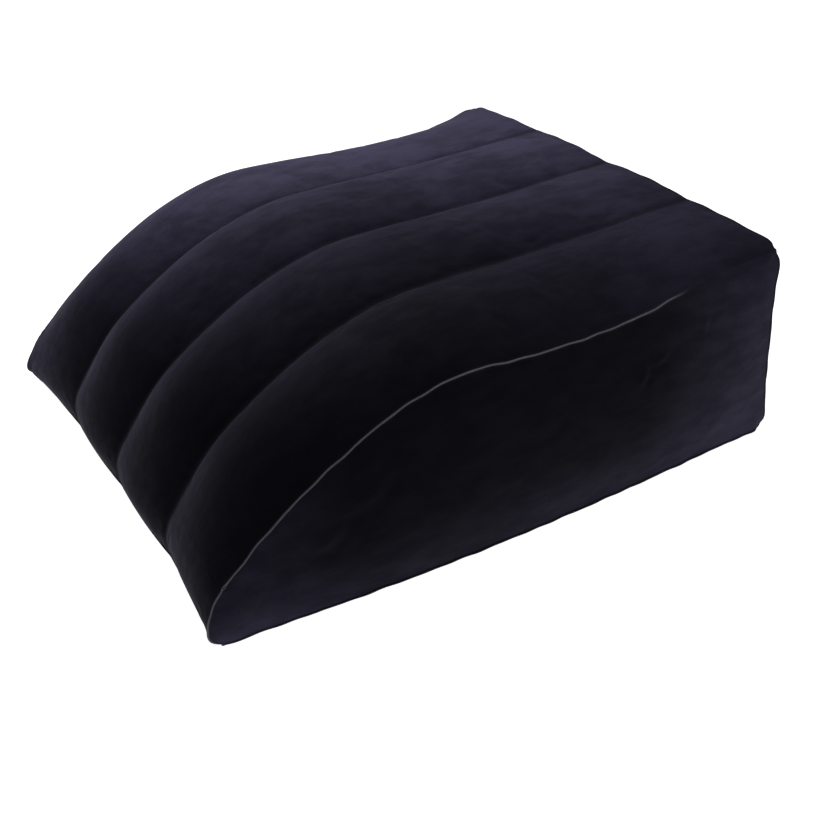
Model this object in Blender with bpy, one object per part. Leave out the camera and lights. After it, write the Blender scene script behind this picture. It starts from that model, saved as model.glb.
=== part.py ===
"""Inflatable wedge cushion for the lower back or the legs: a flocked PVC air cushion.

Five welded panels make the skin, three upright webs inside hold the top down to the bottom and so make
four air tubes, and a two-stage valve sits in the rear panel. Metres, +Z up. +X runs from the thin nose to
the tall rear, +Y to the left. The origin is on the floor under the middle of the cushion.
"""

import math

import bmesh
import bpy
import numpy as np
from mathutils import Matrix, Vector

# ---- driving dimensions -------------------------------------------------------------------------------
HALF_WIDTH = 0.247  # from the middle to the seam between the top and a side
REAR_X = 0.297  # the rear seam along the floor
REAR_HEIGHT = 0.208  # height of the seam at the rear corners
REAR_SETBACK = 0.0235  # how far the rear wall leans forward at its top
TUBES = 4
SHEET = 0.0008  # flocked PVC sheet
WEB_SHEET = 0.0008  # the plain PVC of the webs
TAPE = 0.0005  # the weld tape along each edge of a web
GAP = 0.0003  # between faces that touch
SEAM_GAP = GAP + 0.0002  # between the web, its tapes and the top panel
LAP = 0.0013  # how far a lapped panel edge lies inside its neighbour
FLANGE = 0.005  # width of a turned lap
FIN = 0.003  # width of the welded fin between the top and the sides
LAND = 0.0025  # half the width of the flat weld along a groove
TUBE_WIDTH = 2 * HALF_WIDTH / TUBES

# Lines from the floor at the nose, round the nose, up the ramp, over the knee and back to the rear edge.
SEAM_RIGHT = [
    (-0.300, 0.006),
    (-0.3095, 0.019),
    (-0.3075, 0.038),
    (-0.294, 0.061),
    (-0.243, 0.1065),
    (-0.187, 0.1435),
    (-0.132, 0.1705),
    (-0.075, 0.183),
    (-0.015, 0.1795),
    (0.052, 0.179),
    (0.113, 0.184),
    (0.165, 0.195),
    (0.220, 0.2035),
    (REAR_X - REAR_SETBACK, REAR_HEIGHT),
]
SEAM_LEFT = [
    (-0.300, 0.006),
    (-0.3085, 0.017),
    (-0.3035, 0.034),
    (-0.288, 0.055),
    (-0.243, 0.098),
    (-0.187, 0.138),
    (-0.132, 0.166),
    (-0.075, 0.182),
    (-0.015, 0.183),
    (0.052, 0.181),
    (0.113, 0.1815),
    (0.165, 0.186),
    (0.220, 0.195),
    (REAR_X - REAR_SETBACK, REAR_HEIGHT),
]
GROOVE_LINE = [
    (-0.2965, 0.006),
    (-0.2985, 0.016),
    (-0.296, 0.035),
    (-0.281, 0.060),
    (-0.243, 0.109),
    (-0.187, 0.1505),
    (-0.132, 0.179),
    (-0.075, 0.1965),
    (-0.015, 0.2015),
    (0.052, 0.2028),
    (0.113, 0.2055),
    (0.165, 0.2085),
    (0.220, 0.2125),
    (REAR_X - REAR_SETBACK, 0.2150),
]
# How far a tube rises above the line between its two welds, at the same stations.
TUBE_CROWN = [0.0, 0.004, 0.007, 0.011, 0.017, 0.020, 0.021, 0.021, 0.020, 0.019, 0.018, 0.016, 0.012, 0.003]
FOOT_BOW = 0.013  # how far the seams along the floor bow out at their middles
SIDE_CROWN = 0.010  # how far a side panel bellies out at its tallest
REAR_CROWN = 0.0258
FRONT_EDGE = -0.2925  # where the bottom panel begins

# How a tube's, a side's and the rear's swelling rises from its edges: the powers of the sine.
TUBE_FULLNESS = 0.75
SIDE_FULLNESS = 0.8
REAR_FULLNESS = 0.8
REAR_SQUARENESS = 2.5

# The valve: radii and distances along its axis, which points out of the rear panel along +X.
VALVE_Y = 0.150
VALVE_Z = 0.078
VALVE_X = 0.2955  # the panel's outer face, pushed in a little around the valve
VALVE_FLAT = 0.036  # radius of the flat around the valve
VALVE_BLEND = 0.062  # radius where the panel's own curve begins again
FLANGE_R = 0.030
COLLAR_R = 0.0165
BORE_R = 0.0145
LIP_R = 0.0176
COLLAR_OUT = 0.006
COLLAR_IN = -0.012
PANEL_HOLE_R = 0.0172
PLUG_HINGE_R = 0.026
PLUG_HINGE_OUT = 0.0073
CAP_HINGE_R = 0.0138
CAP_HINGE_OUT = 0.0133
FLAP_HINGE_R = 0.0092
FLAP_HINGE_OUT = -0.0027
FLANGE_TOP = -SHEET - GAP  # the collar's inner flange, behind the panel
FLANGE_EDGE = 0.0012
FLANGE_ROOT = 0.0015
STRAP_HALF = 0.0035  # half the width of the plug's strap
CAP_STRAP_HALF = 0.0023  # half the width of the cap's strap
TURN_STEPS = 24

# Closed (radius, out) outlines of the turned pieces, each in the valve's frame.
COLLAR_PROFILE = [
    (BORE_R, COLLAR_IN),
    (COLLAR_R, COLLAR_IN),
    (COLLAR_R, FLANGE_TOP - FLANGE_ROOT),
    (FLANGE_R, FLANGE_TOP - FLANGE_EDGE),
    (FLANGE_R, FLANGE_TOP),
    (COLLAR_R, FLANGE_TOP),
    (COLLAR_R, COLLAR_OUT - 0.0015),
    (LIP_R, COLLAR_OUT - 0.0011),
    (LIP_R, COLLAR_OUT - 0.0003),
    (LIP_R - 0.0003, COLLAR_OUT),
    (BORE_R, COLLAR_OUT),
]
PLUG_RING_PROFILE = [(0.0168, 0.0005), (0.0200, 0.0005), (0.0200, 0.0021), (0.0168, 0.0021)]
PLUG_PROFILE = [
    (0.0053, 0.0120),
    (0.0053, 0.0063),
    (0.0113, 0.0063),
    (0.0113, -0.0005),
    (0.0060, -0.0005),
    (0.0060, -0.0020),
    (0.0129, -0.0020),
    (0.0141, 0.0063),
    (0.0190, 0.0063),
    (0.0190, 0.0078),
    (0.0185, 0.0083),
    (0.0076, 0.0083),
    (0.0076, 0.0106),
    (0.0083, 0.0110),
    (0.0083, 0.0120),
]
CAP_RING_PROFILE = [(0.0079, 0.0087), (0.0104, 0.0087), (0.0104, 0.0101), (0.0079, 0.0101)]
CAP_PROFILE = [
    (0, 0.0075),
    (0.0042, 0.0075),
    (0.0050, 0.0123),
    (0.0100, 0.0123),
    (0.0100, 0.0139),
    (0.0096, 0.0143),
    (0, 0.0143),
]
FLAP_PROFILE = [(0, -0.0031), (0.0086, -0.0031), (0.0086, -0.0023), (0, -0.0023)]

# Low and high corners of the straps and tabs joined to the turned pieces. -X is up, towards the hinges.
PLUG_STRAP = [
    ((-0.0270, -STRAP_HALF, 0.0006), (-0.0185, STRAP_HALF, 0.0020)),
    ((-0.0269, 0.0002 - STRAP_HALF, 0.0008), (-0.0257, STRAP_HALF - 0.0002, 0.0059)),
]
PLUG_TABS = [
    ((-0.0256, -STRAP_HALF, 0.0064), (-0.0180, STRAP_HALF, 0.0081)),
    ((0.0180, -0.0050, 0.0066), (0.0235, 0.0050, 0.0079)),
]
CAP_STRAP = [
    ((-0.0144, -CAP_STRAP_HALF, 0.0088), (-0.0095, CAP_STRAP_HALF, 0.0100)),
    ((-0.0143, 0.0002 - CAP_STRAP_HALF, 0.0090), (-0.0133, CAP_STRAP_HALF - 0.0002, 0.0119)),
]
CAP_TABS = [
    ((-0.0134, -CAP_STRAP_HALF, 0.0125), (-0.0090, CAP_STRAP_HALF, 0.0137)),
    ((0.0090, -0.0032, 0.0125), (0.0135, 0.0032, 0.0137)),
]

# How finely each sheet is divided.
STATIONS_BETWEEN = 2
BOTTOM_STEPS = 10
FOLD_RADIUS = 0.002  # where the edge of the bottom panel turns up
WEB_FIRST = 6  # stations left free at the nose, for the air to pass
WEB_LAST = -1
WEB_HOLES = (-0.185, -0.075, 0.045, 0.170)  # x of the air holes
HOLE_STEPS = 16
WEB_FOOT = (0.004, 0.012)  # how far behind its top ends the web's foot begins and ends
TAPE_FOOT = (0.006, 0.010)  # the same for the bottom tape
HOLE_SHARE = 0.27  # a hole's radius as a share of the web's height there
ACROSS_TUBE = (0.0, 0.06, 0.2, 0.38, 0.62, 0.8, 0.94, 1.0)
SIDE_ROWS = 6
NOSE_STATIONS = 8  # the stations that go round the nose
REAR_ROWS = 8
REAR_COLUMNS = 16


def clear_scene():
    for obj in list(bpy.data.objects):
        bpy.data.objects.remove(obj, do_unlink=True)


def material(name, colour, roughness):
    made = bpy.data.materials.new(name)
    made.use_nodes = True
    shader = made.node_tree.nodes["Principled BSDF"]
    shader.inputs["Base Color"].default_value = (*colour, 1.0)
    shader.inputs["Roughness"].default_value = roughness
    shader.inputs["Metallic"].default_value = 0.0
    return made


def smoothed(points, between):
    """A Catmull-Rom curve through the points, with this many steps between each two."""
    points = np.array(points, float)
    ends = np.vstack([2 * points[0] - points[1], points, 2 * points[-1] - points[-2]])
    found = []
    for i in range(len(points) - 1):
        a, b, c, d = ends[i : i + 4]
        for t in np.arange(between) / between:
            found.append(
                0.5 * (2 * b + (c - a) * t + (2 * a - 5 * b + 4 * c - d) * t**2 + (3 * b - a - 3 * c + d) * t**3)
            )
    return np.array(found + [points[-1]])


def normals_of(line):
    """Unit normals of an (x, z) line, on its left as it goes from the nose to the rear: outwards."""
    along = np.gradient(line, axis=0)
    normal = np.stack([-along[:, 1], along[:, 0]], axis=1)
    return normal / np.linalg.norm(normal, axis=1, keepdims=True)


def smoothstep(value, low, high):
    t = np.clip((value - low) / (high - low), 0.0, 1.0)
    return t * t * (3 - 2 * t)


def foot_bow(x):
    """How far out of line the seam along the floor is, at x."""
    share = np.clip((np.asarray(x) - SEAM_RIGHT[0][0]) / (REAR_X - SEAM_RIGHT[0][0]), 0, 1)
    return FOOT_BOW * np.sin(np.pi * share**0.85)


SEAMS = {-1: smoothed(SEAM_RIGHT, STATIONS_BETWEEN), 1: smoothed(SEAM_LEFT, STATIONS_BETWEEN)}
GROOVE = smoothed(GROOVE_LINE, STATIONS_BETWEEN)
CROWN = smoothed([(c, 0) for c in TUBE_CROWN], STATIONS_BETWEEN)[:, 0]


def sheet(name, grid, look, thickness=SHEET, flip=False):
    """A grid of points on the outer face, made a closed sheet by thickening it inwards."""
    rows, columns = grid.shape[:2]
    faces = []
    for i in range(rows - 1):
        for j in range(columns - 1):
            a = i * columns + j
            face = (a, a + 1, a + columns + 1, a + columns)
            faces.append(face[::-1] if flip else face)
    mesh = bpy.data.meshes.new(name)
    mesh.from_pydata(grid.reshape(-1, 3).tolist(), [], faces)
    mesh.shade_smooth()
    obj = bpy.data.objects.new(name, mesh)
    bpy.context.scene.collection.objects.link(obj)
    obj.data.materials.append(look)
    wall = obj.modifiers.new("sheet", "SOLIDIFY")
    wall.thickness = thickness
    wall.offset = -1.0
    return obj


def object_from(name, bm, look, smooth=True):
    bmesh.ops.recalc_face_normals(bm, faces=bm.faces)
    mesh = bpy.data.meshes.new(name)
    bm.to_mesh(mesh)
    bm.free()
    if smooth:
        mesh.shade_smooth()
        mesh.set_sharp_from_angle(angle=math.radians(35))
    obj = bpy.data.objects.new(name, mesh)
    bpy.context.scene.collection.objects.link(obj)
    if look:
        obj.data.materials.append(look)
    return obj


def rod(radius, steps, length):
    """A closed round bar along Z, for cutting holes."""
    bm = bmesh.new()
    bmesh.ops.create_cone(bm, cap_ends=True, segments=steps, radius1=radius, radius2=radius, depth=length)
    return bm


def helper(obj):
    obj.hide_render = True
    obj.display_type = "WIRE"
    return obj


# ---- the skin -----------------------------------------------------------------------------------------
def top_panel(look):
    """One sheet from the front seam round the nose and over the four tubes to the rear edge."""
    columns = []
    for tube in range(TUBES):
        low = -HALF_WIDTH + tube * TUBE_WIDTH
        side = {0: -1, TUBES - 1: 1}.get(tube)
        first = low + (0 if side == -1 else LAND)
        last = low + TUBE_WIDTH - (0 if side == 1 else LAND)
        for share in ACROSS_TUBE:
            to_seam = {-1: 1 - share, 1: share, None: 0.0}[side]
            edge = GROOVE * (1 - to_seam) + SEAMS[side or 1] * to_seam
            rise = CROWN * max(math.sin(math.pi * share), 0.0) ** TUBE_FULLNESS
            if to_seam == 1:
                rise = rise + SHEET + GAP / 2
            line = edge + normals_of(edge) * rise[:, None]
            y = first + (last - first) * share
            columns.append(np.stack([line[:, 0], np.full(len(line), y), line[:, 1]], axis=1))
    fin_right, fin_left = columns[0].copy(), columns[-1].copy()
    fin_right[:, 1] -= FIN
    fin_left[:, 1] += FIN
    grid = np.stack([fin_right, *columns, fin_left], axis=1)
    return sheet("top_panel", grid, look, flip=True)


def side_panel(name, side, look):
    """side is -1 for the right and +1 for the left. It bellies out between its seams and ends in the fin."""
    seam = SEAMS[side]
    line = seam - normals_of(seam) * (SHEET + GAP / 2)
    station = np.arange(len(line))
    lean = REAR_SETBACK * smoothstep(line[:, 0], 0.10, REAR_X - REAR_SETBACK)
    foot_x = np.where(
        station < NOSE_STATIONS,
        line[0, 0] + (line[NOSE_STATIONS, 0] - line[0, 0]) * station / NOSE_STATIONS,
        line[:, 0] + lean,
    )
    ends = smoothstep(station, 1, 7) * smoothstep(len(line) - 1 - station, 0, 6)
    rows = []
    for k in range(SIDE_ROWS + 1):
        share = k / SIDE_ROWS
        x = foot_x * (1 - share) + line[:, 0] * share
        z = LAP + (line[:, 1] - LAP) * share
        belly = SIDE_CROWN * np.clip(line[:, 1] / REAR_HEIGHT, 0, 1) * math.sin(math.pi * share) ** SIDE_FULLNESS
        out = HALF_WIDTH + foot_bow(x) * (1 - share) + belly * ends
        rows.append(np.stack([x, side * out, z], axis=1))
    fin = rows[-1].copy()
    fin[:, 1] += side * FIN
    grid = np.stack([*rows, fin], axis=0)
    return sheet(name, grid[:, 1:], look, flip=side > 0)


def rear_wall_x(z):
    return REAR_X - REAR_SETBACK * z / REAR_HEIGHT


def rear_point(y, z, half, height):
    """The rear panel's outer face: it bellies out, but lies flat and pushed in around the valve."""
    rise = math.sin(math.pi * min(max(z / height, 0), 1)) ** REAR_FULLNESS
    bulge = REAR_CROWN * (1 - abs(y / half) ** REAR_SQUARENESS) * rise
    away = math.hypot(y - VALVE_Y, z - VALVE_Z)
    free = float(smoothstep(away, VALVE_FLAT, VALVE_BLEND))
    return free * (rear_wall_x(z) + bulge) + (1 - free) * VALVE_X


def rear_panel(look, hole):
    """The upright end, lapped inside the sides and under the top by turned edges."""
    half = HALF_WIDTH - LAP - SHEET
    top = REAR_HEIGHT - LAP - SHEET
    ys = np.linspace(-half, half, REAR_COLUMNS + 1)
    zs = LAP + (top - LAP) * np.linspace(0, 1, REAR_ROWS + 1)
    grid = np.array([[(rear_point(y, z, half, top), y, z) for y in ys] for z in zs])
    turned_sides = [grid[:, :1] - (FLANGE, 0, 0), grid, grid[:, -1:] - (FLANGE, 0, 0)]
    grid = np.concatenate(turned_sides, axis=1)
    panel = sheet("rear_panel", grid, look)
    cut = panel.modifiers.new("valve_hole", "BOOLEAN")
    cut.operation = "DIFFERENCE"
    cut.object = hole
    return panel


def bottom_panel(look):
    """The flat sheet on the floor, with a turned-up edge that laps inside the nose, the sides and the rear."""
    inset = 2 * LAP + SHEET
    xs = np.linspace(FRONT_EDGE, REAR_X - inset - SHEET, BOTTOM_STEPS + 1)
    halves = HALF_WIDTH - inset + foot_bow(xs)
    bm = bmesh.new()
    right = [bm.verts.new((x, -half, 0.0)) for x, half in zip(xs, halves)]
    left = [bm.verts.new((x, half, 0.0)) for x, half in zip(xs, halves)]
    for k in range(BOTTOM_STEPS):
        bm.faces.new((right[k], left[k], left[k + 1], right[k + 1]))
    foot = right + left[::-1]
    rim = [bm.verts.new((v.co.x, v.co.y, FLANGE)) for v in foot]
    folds = []
    for i in range(len(foot)):
        j = (i + 1) % len(foot)
        bm.faces.new((foot[i], foot[j], rim[j], rim[i]))
        folds.append(bm.edges.get((foot[i], foot[j])))
    bm.normal_update()
    bmesh.ops.bevel(bm, geom=folds, offset=FOLD_RADIUS, segments=2, affect="EDGES", profile=0.5)
    mesh = bpy.data.meshes.new("bottom_panel")
    bm.to_mesh(mesh)
    bm.free()
    obj = bpy.data.objects.new("bottom_panel", mesh)
    bpy.context.scene.collection.objects.link(obj)
    obj.data.materials.append(look)
    wall = obj.modifiers.new("sheet", "SOLIDIFY")
    wall.thickness = SHEET
    wall.offset = -1.0
    return obj


# ---- inside -------------------------------------------------------------------------------------------
def under_groove(depth):
    """The groove line moved in from the top panel's outer face."""
    return GROOVE - normals_of(GROOVE) * depth


def web(name, y, look):
    """An upright web with round holes that let the air pass from tube to tube."""
    top = under_groove(SHEET + TAPE + GAP + SEAM_GAP)[WEB_FIRST:WEB_LAST]
    foot = SHEET + TAPE + 2 * GAP
    outline = [(x, z) for x, z in top] + [(top[-1][0] + WEB_FOOT[1], foot), (top[0][0] + WEB_FOOT[0], foot)]
    bm = bmesh.new()
    face = bm.faces.new([bm.verts.new((x, y - WEB_SHEET / 2, z)) for x, z in outline])
    moved = bmesh.ops.extrude_face_region(bm, geom=[face])
    corners = [g for g in moved["geom"] if isinstance(g, bmesh.types.BMVert)]
    bmesh.ops.translate(bm, verts=corners, vec=(0, WEB_SHEET, 0))
    obj = object_from(name, bm, look, smooth=False)
    for k, x in enumerate(WEB_HOLES):
        height = float(np.interp(x, top[:, 0], top[:, 1]))
        cutter = rod(HOLE_SHARE * height, HOLE_STEPS, 0.02)
        turn = Matrix.Translation((x, y, height * 0.5)) @ Matrix.Rotation(math.pi / 2, 4, "X")
        bmesh.ops.transform(cutter, matrix=turn, verts=cutter.verts)
        hole = helper(object_from(f"{name}_hole_{k}", cutter, None, smooth=False))
        cut = obj.modifiers.new(f"hole_{k}", "BOOLEAN")
        cut.operation = "DIFFERENCE"
        cut.object = hole
    return obj


def top_tape(name, y, look):
    line = under_groove(SHEET + GAP + (SEAM_GAP - GAP) / 2)[WEB_FIRST:WEB_LAST]
    half = LAND - GAP
    grid = np.stack(
        [np.stack([line[:, 0], np.full(len(line), y + side * half), line[:, 1]], axis=1) for side in (-1, 1)],
        axis=1,
    )
    return sheet(name, grid, look, thickness=TAPE, flip=True)


def bottom_tape(name, y, look):
    line = under_groove(0)[WEB_FIRST:WEB_LAST]
    low = SHEET + GAP
    half = LAND - GAP
    bm = bmesh.new()
    bmesh.ops.create_cube(bm, size=1.0)
    first, last = line[0][0] + TAPE_FOOT[0], line[-1][0] + TAPE_FOOT[1]
    size = (last - first, 2 * half, TAPE)
    place = Matrix.Translation(((first + last) / 2, y, low + TAPE / 2)) @ Matrix.Diagonal((*size, 1.0))
    bmesh.ops.transform(bm, matrix=place, verts=bm.verts)
    return object_from(name, bm, look, smooth=False)


# ---- the valve ----------------------------------------------------------------------------------------
VALVE_PLACE = Matrix.Translation((VALVE_X, VALVE_Y, VALVE_Z)) @ Matrix.Rotation(math.pi / 2, 4, "Y")
# In the valve's own frame +Z points out of the cushion and -X points up, to the hinges.


def turned(bm, profile):
    """Adds a closed turned shape to bm from a closed (radius, out) outline."""
    rings = []
    for radius, out in profile:
        if radius == 0:
            rings.append([bm.verts.new((0, 0, out))])
            continue
        angles = [2 * math.pi * k / TURN_STEPS for k in range(TURN_STEPS)]
        rings.append([bm.verts.new((radius * math.cos(a), radius * math.sin(a), out)) for a in angles])
    joined = rings if profile[0][0] == 0 else rings + rings[:1]
    for lower, upper in zip(joined, joined[1:]):
        for k in range(TURN_STEPS):
            n = (k + 1) % TURN_STEPS
            corners = [lower[k % len(lower)], lower[n % len(lower)], upper[n % len(upper)], upper[k % len(upper)]]
            unique = list(dict.fromkeys(corners))
            if len(unique) > 2:
                bm.faces.new(unique)


def block(name, low, high, parent):
    """A helper block between two corners in the valve's frame."""
    bm = bmesh.new()
    bmesh.ops.create_cube(bm, size=1.0)
    place = Matrix.Translation((low + high) / 2) @ Matrix.Diagonal((*(high - low), 1.0))
    bmesh.ops.transform(bm, matrix=place, verts=bm.verts)
    obj = helper(object_from(name, bm, None, smooth=False))
    obj.parent = parent
    return obj


def add_blocks(obj, blocks, shift, parent):
    """Joins blocks to a turned piece: its straps and tabs."""
    for k, (low, high) in enumerate(blocks):
        join = obj.modifiers.new(f"block_{k}", "BOOLEAN")
        join.operation = "UNION"
        join.object = block(f"{obj.name}_block_{k}", Vector(low) + shift, Vector(high) + shift, parent)


def axis_empty(name, shift):
    """An empty in the valve, moved up by -shift.x and out by -shift.z: the pieces on it turn about its Y."""
    empty = bpy.data.objects.new(name, None)
    bpy.context.scene.collection.objects.link(empty)
    empty.matrix_world = VALVE_PLACE @ Matrix.Translation(-shift)
    return empty


def valve_object(name, profile, look, parent, shift, blocks=()):
    bm = bmesh.new()
    turned(bm, profile)
    bmesh.ops.translate(bm, verts=bm.verts, vec=shift)
    obj = object_from(name, bm, look)
    obj.parent = parent
    add_blocks(obj, blocks, shift, parent)


def valve(look):
    middle = Vector((0, 0, 0))
    fixed = axis_empty("valve_axis", middle)
    valve_object("valve_collar", COLLAR_PROFILE, look, fixed, middle)
    valve_object("plug_tether", PLUG_RING_PROFILE, look, fixed, middle, PLUG_STRAP)

    shift = Vector((PLUG_HINGE_R, 0, -PLUG_HINGE_OUT))
    on_plug = axis_empty("plug_axis", shift)
    valve_object("deflation_plug", PLUG_PROFILE, look, on_plug, shift, PLUG_TABS)
    valve_object("cap_tether", CAP_RING_PROFILE, look, on_plug, shift, CAP_STRAP)

    shift = Vector((CAP_HINGE_R, 0, -CAP_HINGE_OUT))
    valve_object("inflation_cap", CAP_PROFILE, look, axis_empty("cap_axis", shift), shift, CAP_TABS)

    shift = Vector((FLAP_HINGE_R, 0, -FLAP_HINGE_OUT))
    valve_object("check_flap", FLAP_PROFILE, look, axis_empty("flap_axis", shift), shift)


def panel_hole():
    bm = rod(PANEL_HOLE_R, TURN_STEPS, 0.03)
    bmesh.ops.transform(bm, matrix=VALVE_PLACE, verts=bm.verts)
    return helper(object_from("panel_hole", bm, None, smooth=False))


def main():
    clear_scene()
    flock = material("flocked_pvc", (0.012, 0.012, 0.018), 0.95)
    film = material("pvc_film", (0.02, 0.02, 0.022), 0.45)
    vinyl = material("valve_vinyl", (0.03, 0.03, 0.032), 0.4)
    top_panel(flock)
    side_panel("side_panel_right", -1, flock)
    side_panel("side_panel_left", 1, flock)
    rear_panel(flock, panel_hole())
    bottom_panel(film)
    for place, y in (("right", -TUBE_WIDTH), ("centre", 0.0), ("left", TUBE_WIDTH)):
        web(f"web_{place}", y, film)
        top_tape(f"top_tape_{place}", y, film)
        bottom_tape(f"bottom_tape_{place}", y, film)
    valve(vinyl)


main()
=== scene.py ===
import math

import bpy
import numpy as np
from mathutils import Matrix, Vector


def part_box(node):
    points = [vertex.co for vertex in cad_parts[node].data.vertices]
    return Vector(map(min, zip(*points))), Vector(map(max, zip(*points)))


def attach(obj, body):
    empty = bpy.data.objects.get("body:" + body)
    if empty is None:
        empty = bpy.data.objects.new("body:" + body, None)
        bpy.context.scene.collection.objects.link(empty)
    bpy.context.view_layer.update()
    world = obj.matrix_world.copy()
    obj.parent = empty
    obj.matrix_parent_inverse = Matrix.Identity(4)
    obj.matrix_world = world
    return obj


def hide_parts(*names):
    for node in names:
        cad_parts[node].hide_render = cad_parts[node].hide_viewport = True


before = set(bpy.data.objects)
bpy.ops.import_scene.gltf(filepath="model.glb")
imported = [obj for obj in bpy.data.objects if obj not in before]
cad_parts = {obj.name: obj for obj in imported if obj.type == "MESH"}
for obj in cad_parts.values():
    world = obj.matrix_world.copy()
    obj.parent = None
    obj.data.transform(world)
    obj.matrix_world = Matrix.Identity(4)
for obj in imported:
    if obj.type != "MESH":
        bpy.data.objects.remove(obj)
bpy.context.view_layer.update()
print("frame loaded")

# The cushion's own lines in metres: x runs from the nose to the rear, z up, from the floor round the nose.
skin = {
    "seamRight": [
        (-0.300, 0.006), (-0.3095, 0.019), (-0.3075, 0.038), (-0.294, 0.061), (-0.243, 0.1065),
        (-0.187, 0.1435), (-0.132, 0.1705), (-0.075, 0.183), (-0.015, 0.1795), (0.052, 0.179),
        (0.113, 0.184), (0.165, 0.195), (0.220, 0.2035), (0.2735, 0.2080),
    ],
    "seamLeft": [
        (-0.300, 0.006), (-0.3085, 0.017), (-0.3035, 0.034), (-0.288, 0.055), (-0.243, 0.098),
        (-0.187, 0.138), (-0.132, 0.166), (-0.075, 0.182), (-0.015, 0.183), (0.052, 0.181),
        (0.113, 0.1815), (0.165, 0.186), (0.220, 0.195), (0.2735, 0.2085),
    ],
    "grooveLine": [
        (-0.2945, 0.006), (-0.2960, 0.016), (-0.2950, 0.035), (-0.2825, 0.059), (-0.243, 0.109),
        (-0.187, 0.1505), (-0.132, 0.179), (-0.075, 0.1965), (-0.015, 0.2015), (0.052, 0.2028),
        (0.113, 0.2055), (0.165, 0.2085), (0.220, 0.2125), (0.2735, 0.2150),
    ],
    "noseTurn": 3,  # which of those points ends the nose and starts the ramp
    # How far the middle of a tube stands above the line of its welds, at each of those points.
    "crown": [
        0.002, 0.0065, 0.0080, 0.0105, 0.016, 0.019, 0.021,
        0.021, 0.020, 0.019, 0.018, 0.016, 0.012, 0.003,
    ],
    "crownPower": 0.8,
    "halfWidth": 0.247,
    "rearX": 0.297,
    "footBow": 0.013,  # how far the seam along the floor bows out at its middle
    "sideBelly": 0.010,
    "rearBelly": 0.015,
    "bellyPowers": (0.7, 0.4),  # how full a belly is, upwards and along: the powers of its two sines
    "floorLift": 0.005,  # height of the seam round the base
    "cellsAlong": 100,
    "cellsUp": 28,
    "cellsPerTube": 18,
    "weldLand": 0.0022,  # half the width of the weld at the bottom of a groove
    "seamWave": 0.0004,  # how far the welded seams waver
    "waves": [(0.5, 0.027, 1), (0.6, 0.0391, 2.1), (0.4, 0.0613, 0.7)],  # share, length and turn of each sine
    "rippleReach": 0.014,  # how far a waver carries into a panel
    "frames": 14,
    "mostMove": 0.014,
    "calming": 5,  # passes that even out the fine ripples of the sides and the rear
    "finWidth": 0.0017,
    "finHalf": 0.0008,  # half the thickness of a welded fin
    "earWidth": 0.0006,  # how much wider the fins are at the corners
    "earReach": 0.007,
    "cornerPull": {"nose": 0.0020, "rear": 0.0062},  # how far the tips of the corners are drawn in
    "cornerFlare": {"nose": 0.0034, "rear": 0.0034},  # how far the skin around them stands out
    "cornerWide": {"nose": 0.008, "rear": 0.010},
    "seamHidden": {"right": 1.0, "left": 0.4},  # how much of a top seam's fin goes towards the rear
    "seamHides": (0.140, 0.185),  # x from and to where it goes
    "otherSeams": 0.5,  # the size of the fins along all other seams
    "roll": 0.013,  # radius of the soft edge where the right seam fades out, before the rear corner
    "rollStarts": (0.135, 0.20),
    "rollEnds": (0.001, 0.02),  # run left to the corner
    "sheet": 0.0007,
    "valveHole": 0.0168,
    "valveFlat": (0.036, 0.062),  # the rear is flat within the first radius, and full from the second
    "valveHeld": 0.038,
}

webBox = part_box("web_left")
grooveY = [-float(webBox[0][1] + webBox[1][1]) / 2, 0.0, float(webBox[0][1] + webBox[1][1]) / 2]
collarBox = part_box("valve_collar")
valveY = float(collarBox[0][1] + collarBox[1][1]) / 2
valveZ = float(collarBox[0][2] + collarBox[1][2]) / 2
valveX = float(collarBox[1][0]) - 0.006  # the valve's lip stands 6 mm out of the panel
halfWidth, rearX = skin["halfWidth"], skin["rearX"]


def smooth(value, low, high):
    # 0 below low, 1 above high, 3t^2 - 2t^3 between
    t = np.clip((value - low) / (high - low), 0.0, 1.0)
    return t * t * (3 - 2 * t)


def catmull(points, at):
    # A curve through rows of points, read at fractional row numbers: each point weighs in by the
    # Catmull-Rom cubic of how far along its stretch the reading is.
    points = np.asarray(points, float)
    padded = np.concatenate([2 * points[:1] - points[1:2], points, 2 * points[-1:] - points[-2:-1]])
    i = np.clip(np.floor(at).astype(int), 0, len(points) - 2)
    t = (at - i).reshape((-1,) + (1,) * (points.ndim - 1))
    a, b, c, d = padded[i], padded[i + 1], padded[i + 2], padded[i + 3]
    square, cube = 2 * a - 5 * b + 4 * c - d, 3 * b - a - 3 * c + d
    return 0.5 * (2 * b + (c - a) * t + square * t**2 + cube * t**3)


def evenly(points, cells):
    # The same curve read at equal steps of its own length.
    fine = catmull(points, np.linspace(0, len(points) - 1, 40 * len(points)))
    run = np.concatenate([[0], np.cumsum(np.linalg.norm(np.diff(fine, axis=0), axis=1))])
    at = np.linspace(0, run[-1], cells + 1)
    return np.stack([np.interp(at, run, fine[:, k]) for k in range(fine.shape[1])], axis=1)


def profile(points):
    # Nose and ramp are each stepped evenly, so that the nose keeps as many cells as the sides are high.
    turn = skin["noseTurn"]
    dense = catmull(points, np.linspace(0, len(points) - 1, 400))
    split = int(round(turn / (len(points) - 1) * 399))
    nose = evenly(dense[: split + 1], skin["cellsUp"])
    ramp = evenly(dense[split:], skin["cellsAlong"])
    return np.concatenate([nose, ramp[1:]])


def leftNormal(line):
    # Unit normals of an (x, z) line, on the left of its run.
    along = np.gradient(line, axis=0)
    normal = np.stack([-along[:, 1], along[:, 0]], axis=1)
    return normal / np.linalg.norm(normal, axis=1, keepdims=True)


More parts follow.
